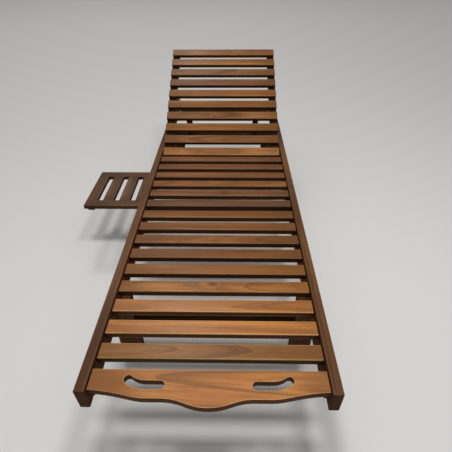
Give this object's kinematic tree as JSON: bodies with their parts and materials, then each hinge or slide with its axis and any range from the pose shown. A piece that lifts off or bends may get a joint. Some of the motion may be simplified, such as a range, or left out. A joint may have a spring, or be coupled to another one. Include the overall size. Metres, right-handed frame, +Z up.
{
  "type": "sun lounger",
  "caption": "Slatted teak sun lounger with a hinged back on a prop and notched racks, a wavy foot board with hand holes and a slatted side tray that slides out.",
  "frame": {"origin": "on the ground, under the middle of the whole lounger with the tray pulled out and the back raised", "axes": "+X across the bed to the side without the tray, +Y along the bed from the foot to the head, +Z up"},
  "size_m": [0.917, 2.03, 0.6657],
  "materials": {
    "seat_teak": "oiled teak, golden brown",
    "back_teak": "oiled teak, mid brown",
    "frame_teak": "oiled teak, reddish brown",
    "inner_teak": "sawn teak, dark brown",
    "tray_teak": "weathered teak, grey brown",
    "stainless_steel": "satin"
  },
  "bodies": {
    "base": {"left_rail": "frame_teak", "right_rail": "frame_teak", "left_front_leg": "frame_teak", "right_front_leg": "frame_teak", "left_head_leg": "frame_teak", "right_head_leg": "frame_teak", "head_end_rail": "frame_teak", "left_seat_ledger": "inner_teak", "right_seat_ledger": "inner_teak", "front_cross_rail": "inner_teak", "hinge_cross_rail": "inner_teak", "head_cross_rail": "inner_teak", "left_rack": "inner_teak", "right_rack": "inner_teak", "tray_front_guide": "inner_teak", "tray_rear_guide": "inner_teak", "seat_slat_01": "seat_teak", "seat_slat_02": "seat_teak", "seat_slat_03": "seat_teak", "seat_slat_04": "seat_teak", "seat_slat_05": "seat_teak", "seat_slat_06": "seat_teak", "seat_slat_07": "seat_teak", "seat_slat_08": "seat_teak", "seat_slat_09": "seat_teak", "seat_slat_10": "seat_teak", "seat_slat_11": "seat_teak", "seat_slat_12": "seat_teak", "seat_slat_13": "seat_teak", "seat_slat_14": "seat_teak", "seat_slat_15": "seat_teak", "foot_board": "seat_teak", "hinge_bolts": "stainless_steel", "leg_bolts": "stainless_steel", "seat_slat_screws": "stainless_steel"},
    "backrest": {"left_back_stile": "frame_teak", "right_back_stile": "frame_teak", "back_slat_01": "back_teak", "back_slat_02": "back_teak", "back_slat_03": "back_teak", "back_slat_04": "back_teak", "back_slat_05": "back_teak", "back_slat_06": "back_teak", "back_slat_07": "back_teak", "back_slat_08": "back_teak", "back_slat_09": "back_teak", "back_slat_10": "back_teak", "back_slat_screws": "stainless_steel"},
    "prop": {"prop_left_arm": "inner_teak", "prop_right_arm": "inner_teak", "prop_pivot_rod": "stainless_steel", "prop_foot_bar": "inner_teak"},
    "tray": {"tray_outer_stile": "tray_teak", "tray_outer_slat": "tray_teak", "tray_inner_slat": "tray_teak", "tray_inner_stile": "tray_teak", "tray_front_rail": "tray_teak", "tray_rear_rail": "tray_teak", "tray_stop_blocks": "tray_teak"}
  },
  "joints": [
    {"name": "backrest_hinge", "type": "hinge", "parent": "base", "child": "backrest", "pos_m": [0.1385, 0.212, 0.291], "axis": [1, 0, 0], "range_deg": [-28, 14]},
    {"name": "prop_hinge", "type": "hinge", "parent": "backrest", "child": "prop", "pos_m": [0.1385, 0.46585, 0.42597], "axis": [1, 0, 0], "range_deg": [-41.4, 82.8]},
    {"name": "tray_slide", "type": "slide", "parent": "base", "child": "tray", "axis": [1, 0, 0], "range_m": [0, 0.236]}
  ],
  "couplings": [
    {"joint": "prop_hinge", "follows": "backrest_hinge", "ratio": -2.957}
  ]
}
